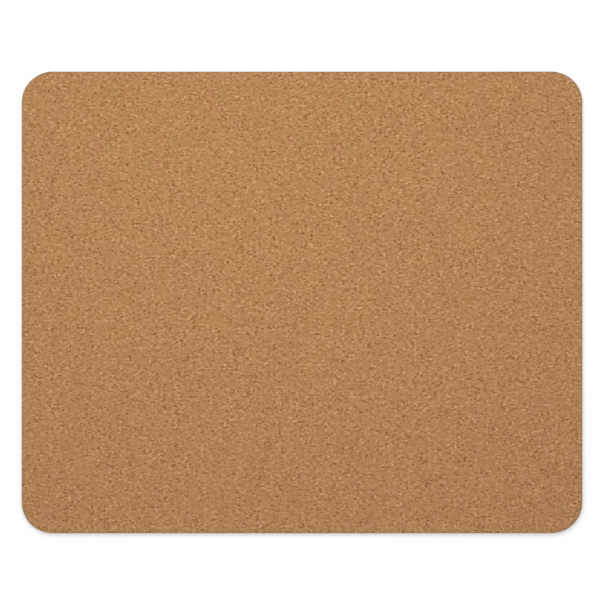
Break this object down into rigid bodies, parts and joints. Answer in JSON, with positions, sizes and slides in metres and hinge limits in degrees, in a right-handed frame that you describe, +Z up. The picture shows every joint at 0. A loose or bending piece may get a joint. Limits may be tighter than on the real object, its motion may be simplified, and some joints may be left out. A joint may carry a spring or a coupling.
{
  "type": "mouse pad",
  "caption": "Flat rectangular desk pad with rounded corners: a fine-grain cork face bonded to a rubber base with an anti-slip zigzag tread, for a computer mouse to glide on.",
  "frame": {"origin": "middle of the underside, on the desk surface", "axes": "+X along the pad's longer side to the user's right, +Y along the shorter side away from the user, +Z up out of the cork face"},
  "size_m": [0.23, 0.1894, 0.003],
  "materials": {
    "cork": "fine-grain agglomerated cork, sanded, matt",
    "bond": "set hot-melt adhesive film, satin",
    "rubber": "embossed natural rubber sheet, matt charcoal"
  },
  "bodies": {
    "root": {"cork_sheet": "cork", "bond_film": "bond", "rubber_base": "rubber"}
  },
  "joints": []
}
